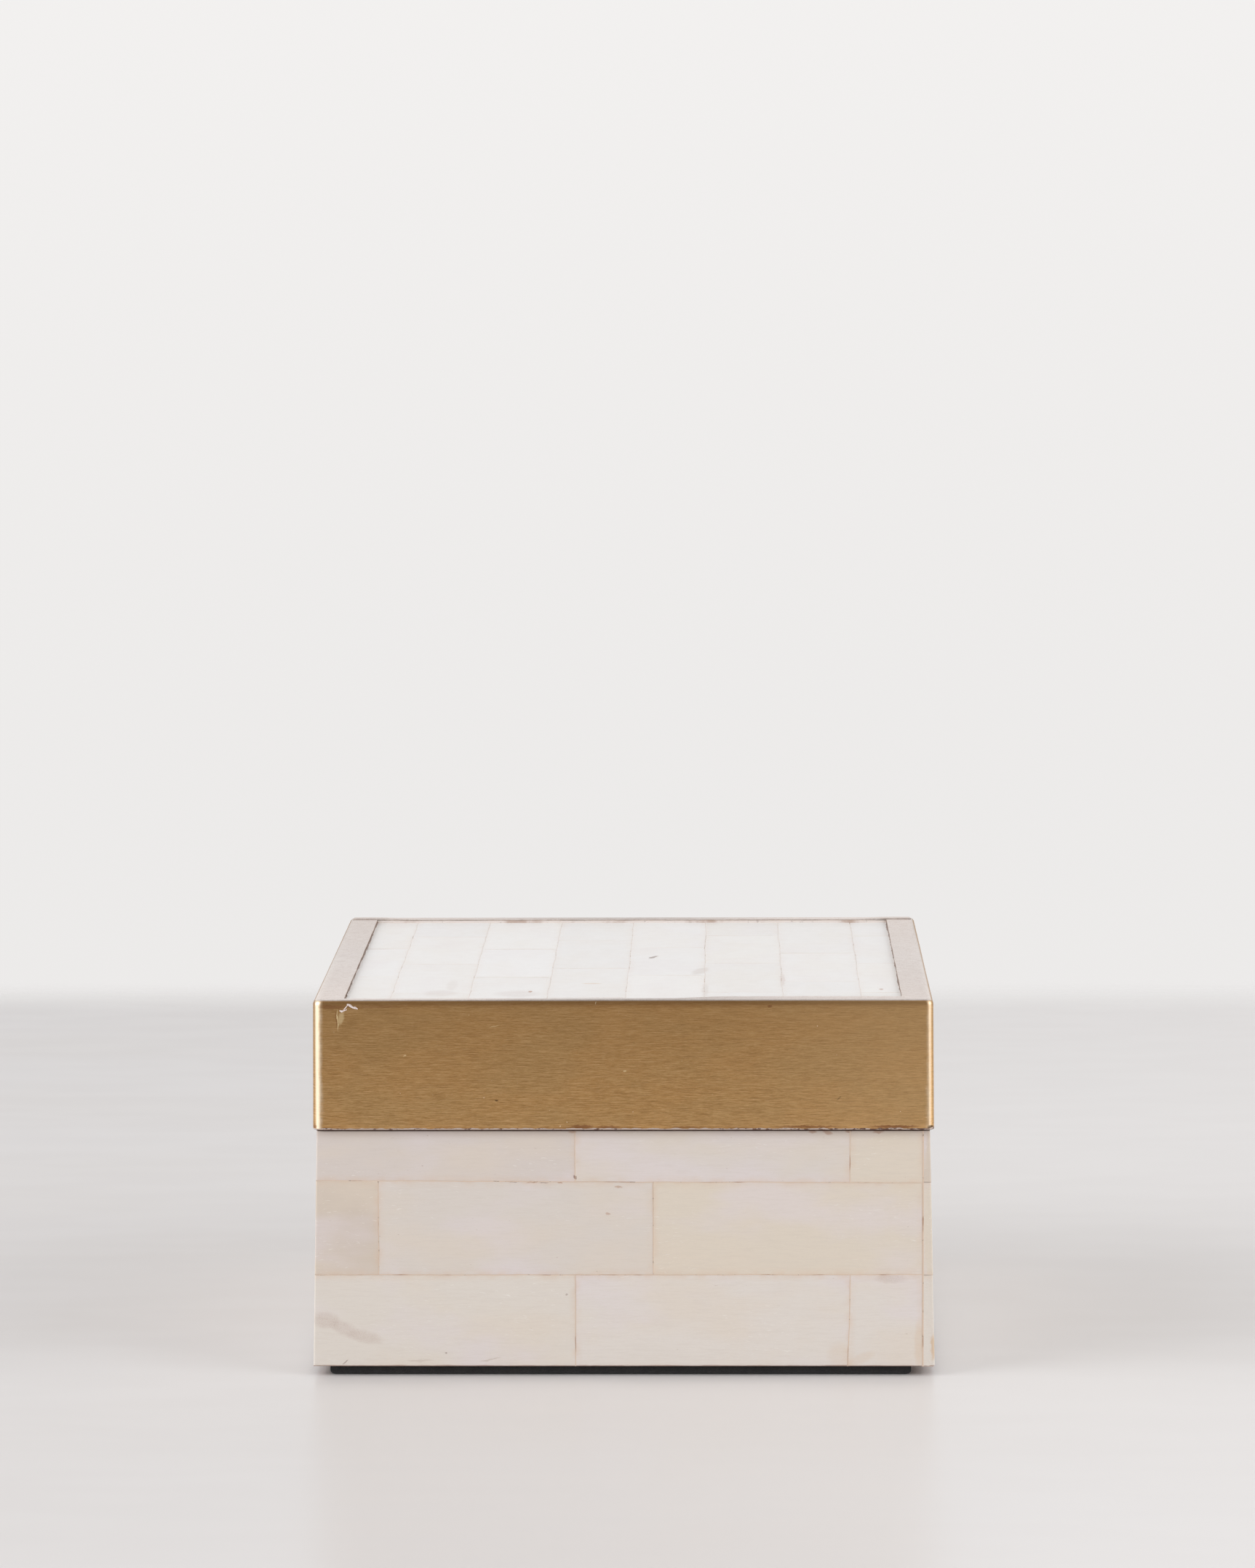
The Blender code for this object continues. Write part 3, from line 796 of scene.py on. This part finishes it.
def side_tile(name, course, place, turn, finish):
    """One tile of a side. Its left end at a corner leans with the box's flare."""
    dice = random.Random(name)
    seed = dice.uniform(0, 40)
    tilt_along, tilt_up, stand = (dice.uniform(-1, 1) * TILT["side"] for _ in range(3))
    left, right, bottom, top = tile_span(course, place)
    start = -side_half(bottom) if left is None else left
    length = right - start
    height = top - bottom
    spin = quarter_turns(turn)
    seam = PLACES.index(place)
    joint = COURSES.index(course)
    left_rim = OUTER_RIM if place == "left" else TILE_RIM
    foot_rim = OUTER_RIM if course == "bottom" else TILE_RIM

    def moved(across, up):
        """The point's place once the tile leans with the corner and its joints stray."""
        share = (across - start) / length
        rise = (up - bottom) / height
        shift = (1 - share) * seam_shift(turn, course, seam, up)
        shift += share * seam_shift(turn, course, seam + 1, up)
        lift = (1 - rise) * course_shift(turn, joint, across)
        lift += rise * course_shift(turn, joint + 1, across)
        if left is None:
            shift += (1 - share) * (-side_half(up) - start)
        return across + shift, up + lift

    def front(across, up):
        drop = rim_drop(across - start, left_rim) + rim_drop(right - across, TILE_RIM)
        drop += rim_drop(up - bottom, foot_rim) + rim_drop(top - up, TILE_RIM)
        edge = min(across - start, right - across, up - bottom, top - up)
        drop = min(drop, OUTER_RIM) + EDGE_WEAR * (1 - smooth(0, 2.5 * MM, edge))
        rise = tilt_along * ((across - start) / length - 0.5) + tilt_up * ((up - bottom) / height - 0.5)
        rise += 0.4 * stand + 0.025 * MM * ripple(across, up, seed * MM, 11 * MM)
        x, z = moved(across, up)
        return spin @ Vector((x, -side_half(z) - rise + drop, z))

    def back(across, up):
        x, z = moved(across, up)
        return spin @ Vector((x, -BONE_BACK, z))

    def joint_distance(across, up):
        far = 10 * MM
        from_left = far if place == "left" else across - start
        from_foot = far if course == "bottom" else up - bottom
        from_top = far if course == "top" else top - up
        return min(from_left, from_foot, from_top, right - across)

    mesh = closed_block(stops(start, right), stops(bottom, top), front, back, joint_distance)
    piece = make_object(name, mesh, finish)
    if turn == 0:
        tone = FRONT_TONES[course][seam]
    else:
        tone = dice.choice((PALE, WARM, ROSY, GREY, IVORY, DULL))
    give_tone(piece, tone, seed)
    return piece


def make_side_tiles(finish):
    for turn, side in enumerate(SIDES):
        for course in COURSES:
            for place in PLACES:
                ending = "_".join((side, course, place))
                piece = side_tile("tile_" + ending, course, place, turn, finish)
                node = "bone_" + ending
                place_piece(piece, "base", SLOTS[node], [node])


# --- Lid tiles ---


def lid_rows():
    """Each row's node, its two lowest and highest corners and its cross joints, from left to right."""
    for row in range(1, LID_ROWS + 1):
        node = f"bone_top_row_{row}"
        low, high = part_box(node)
        floor = (low.z + high.z) / 2
        ceiling = high.z - 0.1 * MM
        places = [v.co for v in frame["nodes"][node].data.vertices]
        grooves = {round(place.y, 5) for place in places if floor < place.z < ceiling}
        yield node, low, high, sorted(grooves)


def lid_seam_shift(seam, along):
    """How far the seam at this row's right strays to the right."""
    if seam in (0, LID_ROWS):
        return 0.0
    stray = ripple(along, seam, 3.0, 13 * MM) + 0.5 * ripple(along, seam, 7.0, 4 * MM)
    return WANDER["lid"] * stray


def lid_tile(name, row, left, right, near, far, bottom, top, finish):
    """One tile of the lid. Its length, and its grain, run from front to back."""
    dice = random.Random(name)
    seed = dice.uniform(0, 40)
    tilt_along, tilt_across, stand = (dice.uniform(-1, 1) * TILT["lid"] for _ in range(3))
    length = far - near
    width = right - left

    def moved(along, across):
        share = (across - left) / width
        return across + (1 - share) * lid_seam_shift(row - 1, along) + share * lid_seam_shift(row, along)

    def front(along, across):
        edge = min(along - near, far - along, across - left, right - across)
        drop = rim_drop(edge, TILE_RIM) + EDGE_WEAR * (1 - smooth(0, 2 * MM, edge))
        rise = tilt_along * ((along - near) / length - 0.5) + tilt_across * ((across - left) / width - 0.5)
        rise += 0.4 * stand + 0.02 * MM * ripple(along, across, seed * MM, 9 * MM)
        return Vector((moved(along, across), along, top + rise - drop))

    def back(along, across):
        return Vector((moved(along, across), along, bottom))

    def joint_distance(along, across):
        return min(along - near, far - along, across - left, right - across)

    mesh = closed_block(stops(near, far), stops(left, right), front, back, joint_distance)
    piece = make_object(name, mesh, finish)
    shade = dice.uniform(-0.02, 0.015)
    warmth = dice.uniform(-0.01, 0.015)
    tone = (0.85 + shade, 0.835 + shade - 0.3 * warmth, 0.825 + shade - warmth)
    give_tone(piece, tone, seed)
    return piece


def make_lid_tiles(finish):
    for row, (node, low, high, joints) in enumerate(lid_rows(), 1):
        left = low.x - (TIGHTEN if row > 1 else 0)
        right = high.x + (TIGHTEN if row < LID_ROWS else 0)
        ends = [low.y, *joints, high.y]
        for i, (near, far) in enumerate(zip(ends, ends[1:])):
            near += END_GAP if i else 0
            far -= END_GAP if i < len(joints) else 0
            name = f"{node.replace('bone_top', 'lid')}_tile_{i + 1}"
            piece = lid_tile(name, row, left, right, near, far, low.z, high.z, finish)
            place_piece(piece, "lid", "bone_top", [node])


# --- Filler in the joints, and glue ---


def add_bar(mesh, path, across, into):
    """A closed bar along a path: across(i) is half its width at each point, and into its depth."""
    loops = []
    for i, point in enumerate(path):
        point = Vector(point)
        wide = Vector(across(i))
        deep = Vector(into)
        corners = (point - wide, point + wide, point + wide + deep, point - wide + deep)
        loops.append([mesh.verts.new(corner) for corner in corners])
    skin(mesh, loops)
    mesh.faces.new(loops[0])
    mesh.faces.new(loops[-1])


def even(start, end, step):
    """Evenly spaced places from start to end, about a step apart."""
    count = max(2, round(abs(end - start) / step))
    return [start + (end - start) * i / count for i in range(count + 1)]


def side_filler(turn, finish):
    """All the filler between one side's tiles, and down the corner at its right end."""
    mesh = bmesh.new()
    spans = {(course, place): tile_span(course, place) for course in COURSES for place in PLACES}
    half_gap = (spans["top", "centre"][0] - spans["top", "left"][1]) / 2 + FILLER_LAP
    into = (0, 1.0 * MM, 0)
    step = 0.9 * MM

    def surface(across, up):
        uneven = RECESS * (1 + 0.8 * ripple(across, up, turn, 2.5 * MM))
        return Vector((across, -side_half(up) + uneven, up))

    for course in COURSES:
        for seam, (left_place, right_place) in enumerate(zip(PLACES, PLACES[1:]), 1):
            left = spans[course, left_place]
            right = spans[course, right_place]
            middle = (left[1] + right[0]) / 2
            levels = even(left[2], left[3], step)
            path = [surface(middle + seam_shift(turn, course, seam, up), up) for up in levels]
            add_bar(mesh, path, lambda i: (half_gap, 0, 0), into)
    for joint, (lower, upper) in enumerate(zip(COURSES, COURSES[1:]), 1):
        up = (spans[lower, "centre"][3] + spans[upper, "centre"][2]) / 2
        places = even(0.3 * MM - side_half(up), BONE_BACK, step)
        path = [surface(across, up + course_shift(turn, joint, across)) for across in places]
        add_bar(mesh, path, lambda i: (0, 0, half_gap), into)
    end = spans["middle", "right"][1]
    width = (BONE_BACK - end) / 2
    path = [surface(end + width, up) for up in even(FOOT_LOW.z, SHOULDER_HIGH.z, step)]
    add_bar(mesh, path, lambda i: (width, 0, 0), into)
    bmesh.ops.transform(mesh, matrix=quarter_turns(turn).to_4x4(), verts=mesh.verts)
    return make_object("joint_filler_" + SIDES[turn], mesh, finish)


def lid_filler(finish):
    """Filler between the lid's rows and across each row's joints."""
    mesh = bmesh.new()
    rows = list(lid_rows())
    into = (0, 0, -0.8 * MM)
    top = rows[0][2].z
    for row, (left, right) in enumerate(zip(rows, rows[1:]), 1):
        middle = (left[2].x + right[1].x) / 2
        half = (right[1].x - left[2].x) / 2 - TIGHTEN + 0.035 * MM
        path = []
        for along in even(right[1].y, right[2].y, 1.0 * MM):
            sink = RECESS * (1 + 0.8 * ripple(middle, along, 3.0, 3 * MM))
            path.append((middle + lid_seam_shift(row, along), along, top - sink))
        add_bar(mesh, path, lambda i: (half, 0, 0), into)
    for _, low, high, joints in rows:
        for joint in joints:
            places = even(low.x + 0.3 * MM, high.x - 0.3 * MM, 1.5 * MM)
            path = [(across, joint, top - RECESS) for across in places]
            add_bar(mesh, path, lambda i: (0, END_GAP + FILLER_LAP, 0), into)
    return make_object("lid_filler", mesh, finish)


def glue_bead(name, start, end, sideways, finish):
    """A ragged line of glue between the bone and a folded-over edge of the brass."""
    mesh = bmesh.new()
    start = Vector(start)
    end = Vector(end)
    sideways = Vector(sideways)
    count = round((end - start).length / (0.6 * MM))
    path = [start.lerp(end, i / count) for i in range(count + 1)]

    def width(i):
        point = path[i]
        swell = 0.9 * ripple(point.x, point.y, 5.0, 6 * MM) + 0.8 * ripple(point.x, point.y, 9.0, 1.5 * MM)
        return sideways * max(0.08, 0.4 + swell)

    add_bar(mesh, path, width, (0, 0, -0.55 * MM))
    return make_object(name, mesh, finish)


def make_fillers():
    side_wax = make_filler("side_wax", (0.75, 0.59, 0.47), (0.45, 0.26, 0.17), 0.55)
    lid_wax = make_filler("lid_wax", (0.80, 0.73, 0.69), (0.55, 0.43, 0.37), 0.3)
    glue = make_filler("dark_glue", (0.34, 0.26, 0.23), (0.12, 0.08, 0.06), 0.75)
    for turn in range(len(SIDES)):
        place_piece(side_filler(turn, side_wax), "base")
    place_piece(lid_filler(lid_wax), "lid")
    level = LID_TOP - BRASS - 0.1 * MM
    edge = LID_HALF - SIDE_TAB
    reach = LID_HALF - BACK_TAB
    near = -60 * MM
    for name, way in (("left", -1), ("right", 1)):
        start = (way * edge, near, level)
        end = (way * edge, reach, level)
        place_piece(glue_bead("glue_" + name, start, end, (0.3 * MM, 0, 0), glue), "lid")
    reach -= 0.12 * MM
    level += 0.28 * MM
    ends = ((-edge, reach, level), (edge, reach, level))
    place_piece(glue_bead("glue_back", *ends, (0, 0.2 * MM, 0), lid_wax), "lid")


# --- Brass ---


def run_shares():
    """Where a side's straight run has its points: evenly, and closer together beside the crease."""
    shares = {i / RUN_STEPS for i in range(RUN_STEPS + 1)}
    for offset in (-1.3, -0.7, -0.35, -0.15, 0.0, 0.15, 0.35, 0.7, 1.1, 1.6):
        shares.add((CREASE + offset * MM + LID_HALF) / (2 * LID_HALF))
    return sorted(shares)


RUN = run_shares()


def band_loop(inset, cut, z):
    """Points round the lid at one level: along each side, then round the corner after it.

    inset is how far in they lie from the lid's edge, and cut how much smaller each corner's radius is.
    """
    radii = [max(radius - cut, 0.3 * MM) for radius in CORNERS]
    reach = LID_HALF - inset
    angles = [math.pi / 2 * i / ARC_STEPS for i in range(1, ARC_STEPS)]
    points = []
    for turn, after in enumerate(radii):
        start = radii[turn - 1] - reach
        end = reach - after
        run = [(start + (end - start) * share, -reach) for share in RUN]
        arc = [(end + after * math.sin(a), after - reach - after * math.cos(a)) for a in angles]
        spin = quarter_turns(turn)
        points += [spin @ Vector((x, y, z)) for x, y in run + arc]
    return points


def band_profile():
    """Outer and inner (inset, cut, height) from the lower edge up and over the fold."""
    fold_start = LID_TOP - FOLD
    lip = 0.12 * MM
    yield (lip - FLARE, 0.0, LID_BOTTOM), (BRASS - FLARE, BRASS, LID_BOTTOM)
    for row in range(WALL_ROWS + 1):
        share = row / WALL_ROWS
        z = LID_BOTTOM + lip + (fold_start - LID_BOTTOM - lip) * share
        flare = FLARE * (1 - share)
        yield (-flare, 0.0, z), (BRASS - flare, BRASS, z)
    for step in range(1, FOLD_STEPS + 1):
        angle = math.pi / 2 * step / FOLD_STEPS
        pair = []
        for radius in (FOLD, FOLD - BRASS):
            inset = FOLD - radius * math.cos(angle)
            pair.append((inset, inset, fold_start + radius * math.sin(angle)))
        yield tuple(pair)


def front_edge(across):
    """How wide the front tab is: it was cut wider towards the right."""
    share = smooth(9 * MM, 21 * MM, across)
    width = FRONT_TAB["left"] + (FRONT_TAB["right"] - FRONT_TAB["left"]) * share
    return width + 0.18 * MM * ripple(across, 2.0, 0.0, 9 * MM)


def side_edge(across):
    return SIDE_TAB + 0.12 * MM * ripple(across, 4.0, 0.0, 8 * MM)


def back_edge(across):
    return BACK_TAB + 0.1 * MM * ripple(across, 6.0, 0.0, 9 * MM)


def tab_plan(side):
    """A tab's inner edge, drawn on the front: where it starts and ends, and its width along it."""
    inner = LID_HALF - SIDE_TAB
    under_back = LID_HALF - 1.9 * MM
    left_mitre = LID_HALF - front_edge(-inner)
    right_mitre = LID_HALF - front_edge(inner)
    plans = {
        "front": (TAB_SLIT - inner, inner - TAB_SLIT, front_edge),
        "right": (TAB_SLIT - right_mitre, under_back, side_edge),
        "left": (-under_back, left_mitre - TAB_SLIT, side_edge),
        "back": (0.8 * MM - LID_HALF, LID_HALF - 0.8 * MM, back_edge),
    }
    return plans[side]


def tab_lift(side, across, share):
    """Height of a tab over the lid's top. The back tab's ends lie over the ends of the side tabs."""
    wave = 0.03 * MM * ripple(across, 8.0, 0.0, 7 * MM) * share
    if side != "back":
        return wave
    lap = smooth(LID_HALF - 14 * MM, LID_HALF - 6 * MM, abs(across))
    return wave + (0.03 + 0.25 * lap) * MM * smooth(0, 0.35, share)


def dent(point):
    """The band's small unevenness, and the crease near its front left corner."""
    swell = 0.03 * MM * ripple(point.x, point.y, point.z, 16 * MM)
    if point.y < FOLD - LID_HALF and point.x < 0:
        foot = LID_TOP - 6.5 * MM
        top = LID_TOP - 0.9 * MM
        height = smooth(foot, foot + 0.8 * MM, point.z) * (1 - smooth(top - 0.8 * MM, top, point.z))
        reach = 0.3 * MM + 1.3 * MM * smooth(foot, foot + 4.4 * MM, point.z)
        beside = point.x - CREASE
        facet = 1 - smooth(0, reach, beside) if beside > 0 else math.exp(-((beside / (0.15 * MM)) ** 2))
        swell -= 0.12 * MM * height * facet
    scale = 1 + swell / LID_HALF
    return Vector((point.x * scale, point.y * scale, point.z))


def add_tab(side, turn, fold_edge, outer, inner, faces):
    """Grows a tab inwards from its part of the fold's last loop."""
    spin = quarter_turns(turn)
    unspin = quarter_turns(-turn)
    start, end, width = tab_plan(side)
    edge = [unspin @ outer[i] for i in fold_edge]
    previous = fold_edge
    for row in range(1, TAB_ROWS + 1):
        share = row / TAB_ROWS
        line = []
        for point in edge:
            along = (point.x - edge[0].x) / (edge[-1].x - edge[0].x)
            across = start + (end - start) * along
            inside = Vector((across, width(across) - LID_HALF, LID_TOP))
            spot = point.lerp(inside, share)
            spot.z = LID_TOP + tab_lift(side, spot.x, share)
            line.append(len(outer))
            outer.append(spin @ spot)
            inner.append(spin @ (spot - Vector((0, 0, BRASS))))
        for i in range(len(line) - 1):
            faces.append((previous[i], previous[i + 1], line[i + 1], line[i]))
        previous = line


def closed_sheet(outer, inner, faces):
    """A closed mesh from two layers of points that share their faces."""
    mesh = bmesh.new()
    outside = [mesh.verts.new(point) for point in outer]
    inside = [mesh.verts.new(point) for point in inner]
    for face in faces:
        mesh.faces.new([outside[i] for i in face])
        mesh.faces.new([inside[i] for i in reversed(face)])
    number = {vertex: i for i, vertex in enumerate(outside)}
    for edge in [e for e in mesh.edges if len(e.link_faces) == 1 and e.verts[0] in number]:
        a, b = (number[v] for v in edge.verts)
        mesh.faces.new((outside[a], outside[b], inside[b], inside[a]))
    return mesh


def make_brass_band(finish):
    """The band's walls and fold, and a tab on each side between the middles of two corners."""
    outer = []
    inner = []
    for outside, inside in band_profile():
        outer += [dent(point) for point in band_loop(*outside)]
        inner += [dent(point) for point in band_loop(*inside)]
    per_side = len(RUN) + ARC_STEPS - 1
    ring = per_side * len(SIDES)
    last = len(outer) - ring
    faces = []
    for start in range(0, last, ring):
        for i in range(ring):
            k = (i + 1) % ring
            faces.append((start + i, start + k, start + ring + k, start + ring + i))
    half_arc = ARC_STEPS // 2
    for turn, side in enumerate(SIDES):
        first = turn * per_side - half_arc
        fold_edge = [last + i % ring for i in range(first, first + len(RUN) + 2 * half_arc)]
        add_tab(side, turn, fold_edge, outer, inner, faces)
    piece = make_object("brass_cladding", closed_sheet(outer, inner, faces), finish, 50)
    return place_piece(piece, "lid", "brushed_brass", ["brass_band"])


def make_torn_flake(finish):
    """A crumpled scrap of torn paper, stuck to the brass beside the crease.

    Each strip is a row of points: across, up and half its width there, in millimetres.
    """
    strips = (
        ((-57.3, 75.8, 0.12), (-56.9, 76.3, 0.26), (-56.5, 76.8, 0.20), (-56.1, 77.3, 0.16)),
        (
            (-56.4, 77.3, 0.12),
            (-55.7, 77.0, 0.28),
            (-55.2, 76.6, 0.16),
            (-54.8, 76.6, 0.26),
            (-54.2, 76.3, 0.08),
        ),
        ((-57.9, 76.0, 0.10), (-57.4, 75.8, 0.24), (-57.0, 76.0, 0.20), (-56.4, 76.2, 0.08)),
    )
    mesh = bmesh.new()
    for layer, strip in enumerate(strips):
        y = -LID_HALF - (0.08 + 0.05 * layer) * MM
        path = [(x * MM, y - 0.05 * MM * (i % 2), z * MM) for i, (x, z, half) in enumerate(strip)]
        halves = [half * MM for x, z, half in strip]
        slant = (0.9, 0.45) if layer == 0 else (0.35, 0.9)

        def across(i):
            return (slant[0] * halves[i], 0, slant[1] * halves[i])

        add_bar(mesh, path, across, (0, 0.12 * MM, 0))
    piece = make_object("torn_flake", mesh, finish)
    return place_piece(piece, "lid")


# --- Wood and felt ---


def finish_carcass():
    """Gives the carcass its wood: the CAD's own pieces stay, as flat stock is what they are."""
    woods = {"x": make_wood("carcass_wood_x", "x"), "y": make_wood("carcass_wood_y", "y")}
    for name, node in frame["nodes"].items():
        if name.startswith(("wall_", "lid_rail_", "lid_board", "bottom_board")):
            along = "y" if name.endswith(("_left", "_right")) else "x"
            node.data.materials.clear()
            node.data.materials.append(woods[along])


def felt_pad(name, node, body, slot, faces_up, finish):
    """A felt sheet with a soft, uneven surface and a rounded rim."""
    low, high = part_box(node)
    dice = random.Random(name)
    seed = dice.uniform(0, 40)
    worked, plain = (high.z, low.z) if faces_up else (low.z, high.z)
    inward = -1 if faces_up else 1
    thickness = high.z - low.z

    def front(x, y):
        edge = min(x - low.x, high.x - x, y - low.y, high.y - y)
        drop = rim_drop(edge, 0.6 * thickness) + 0.03 * MM * (1 + ripple(x, y, seed, 3 * MM))
        return (x, y, worked + inward * drop)

    def back(x, y):
        return (x, y, plain)

    columns = stops(low.x, high.x, 3 * MM)
    rows = stops(low.y, high.y, 3 * MM)
    piece = make_object(name, closed_block(columns, rows, front, back), finish, 80)
    place_piece(piece, body, slot, [node])
    return piece


def make_felts():
    black = make_felt("foot_felt", (0.012, 0.012, 0.013), (0.035, 0.034, 0.034))
    grey = make_felt("lining_felt", (0.035, 0.031, 0.030), (0.085, 0.078, 0.075))
    felt_pad("foot_pad", "base_felt", "base", "felt_foot", False, black)
    felt_pad("floor_pad", "floor_lining", "base", "felt_lining", True, grey)
    felt_pad("lid_pad", "lid_lining", "lid", "felt_lining", False, grey)


# --- Table, light and camera ---


def make_table():
    mesh = bmesh.new()
    count = 24
    grid = []
    for i in range(count + 1):
        x = -TABLE_HALF + 2 * TABLE_HALF * i / count
        line = [TABLE_NEAR + (TABLE_END - TABLE_NEAR) * j / count for j in range(count + 1)]
        grid.append([mesh.verts.new((x, y, 0.0)) for y in line])
    for left, right in zip(grid, grid[1:]):
        for j in range(count):
            mesh.faces.new((left[j], right[j], right[j + 1], left[j + 1]))
    table = make_object("table_top", mesh, make_table_finish())


class Sky(Nodes):
    """The world's node tree under construction. x, y and z are the direction of view."""

    def __init__(self, tree):
        super().__init__(tree)
        direction = self.node("ShaderNodeTexCoord").outputs["Generated"]
        self.x, self.y, self.z = self.node("ShaderNodeSeparateXYZ", {0: direction}).outputs

    def background(self, colour, strength):
        sockets = {"Color": (*colour, 1.0), "Strength": strength}
        return self.node("ShaderNodeBackground", sockets).outputs[0]


def make_world():
    """A pale backdrop for the camera, and for all else a pale studio that is dim behind the camera."""
    world = bpy.data.worlds.new("studio")
    bpy.context.scene.world = world
    world.use_nodes = True
    sky = Sky(world.node_tree)
    level = sky.maths("SQRT", sky.plus(sky.times(sky.x, sky.x), sky.times(sky.y, sky.y)))
    flat = sky.maths("MAXIMUM", level, 0.001)
    towards_front = sky.maths("DIVIDE", sky.times(sky.y, -1.0), flat)
    towards_left = sky.maths("DIVIDE", sky.times(sky.x, -1.0), flat)
    near_cosine = math.cos(math.radians(DIM_EDGES[1]))
    far_cosine = math.cos(math.radians(DIM_EDGES[0]))
    dim = sky.ramp(towards_front, near_cosine, far_cosine, 1.0, FRONT_LIGHT / ROOM_LIGHT)
    lobes = sky.plus(
        sky.ramp(towards_left, 0.55, 0.95, 0.0, SIDE_LIGHT["left"] - ROOM_LIGHT),
        sky.ramp(towards_left, -0.55, -0.95, 0.0, SIDE_LIGHT["right"] - ROOM_LIGHT),
    )
    around = sky.plus(sky.times(dim, ROOM_LIGHT), lobes)
    overhead = sky.ramp(sky.z, 0.35, 0.85, 0.0, 1.0)
    around = sky.times(around, sky.minus(1.0, overhead))
    strength = sky.plus(around, sky.times(overhead, TOP_LIGHT))
    lit = sky.background((1.0, 0.99, 0.985), strength)
    backdrop = sky.background((0.905, 0.890, 0.880), sky.ramp(sky.z, -0.14, 0.12, 0.93, 1.01))

    nodes = world.node_tree.nodes
    links = world.node_tree.links
    chooser = nodes.new("ShaderNodeMixShader")
    links.new(nodes.new("ShaderNodeLightPath").outputs["Is Camera Ray"], chooser.inputs[0])
    links.new(lit, chooser.inputs[1])
    links.new(backdrop, chooser.inputs[2])
    links.new(chooser.outputs[0], nodes["World Output"].inputs["Surface"])


def add_softbox(name, place, size, energy):
    """A rectangular light, width by height, that faces the box and isn't seen by the camera."""
    light = bpy.data.lights.new(name, "AREA")
    light.shape = "RECTANGLE"
    light.size, light.size_y = size
    light.energy = energy
    lamp = bpy.data.objects.new(name, light)
    lamp.location = place
    aim = Vector((0.0, 0.0, 0.05)) - lamp.location
    lamp.rotation_euler = aim.to_track_quat("-Z", "Y").to_euler()
    lamp.visible_camera = False
    bpy.context.scene.collection.objects.link(lamp)


def make_lights():
    add_softbox("left_softbox", (-1.2, -0.45, 0.75), (1.2, 1.1), 12.5)
    add_softbox("right_softbox", (1.2, -0.45, 0.75), (1.2, 1.1), 9.5)


def make_camera():
    camera = bpy.data.cameras.new("camera")
    camera.lens = CAMERA_LENS
    camera.sensor_width = 36.0
    camera.clip_start = 0.01
    camera.clip_end = 20.0
    holder = bpy.data.objects.new("camera", camera)
    flat = math.cos(CAMERA_PITCH)
    forward = Vector(
        (math.sin(CAMERA_YAW) * flat, math.cos(CAMERA_YAW) * flat, -math.sin(CAMERA_PITCH))
    )
    level = Vector((math.cos(CAMERA_YAW), -math.sin(CAMERA_YAW), 0.0))
    upright = level.cross(forward)
    right = level * math.cos(CAMERA_ROLL) + upright * math.sin(CAMERA_ROLL)
    up = upright * math.cos(CAMERA_ROLL) - level * math.sin(CAMERA_ROLL)
    axes = Matrix((right, up, -forward)).transposed()
    holder.matrix_world = Matrix.Translation(CAMERA_AT) @ axes.to_4x4()
    bpy.context.scene.collection.objects.link(holder)
    bpy.context.scene.camera = holder


def main():
    make_side_tiles(make_side_bone())
    make_lid_tiles(make_lid_bone())
    make_fillers()
    make_brass_band(make_brass())
    make_torn_flake(make_flake_finish())
    finish_carcass()
    make_felts()
    make_table()
    make_world()
    make_lights()
    make_camera()
    bpy.context.scene.view_settings.view_transform = "Standard"


main()
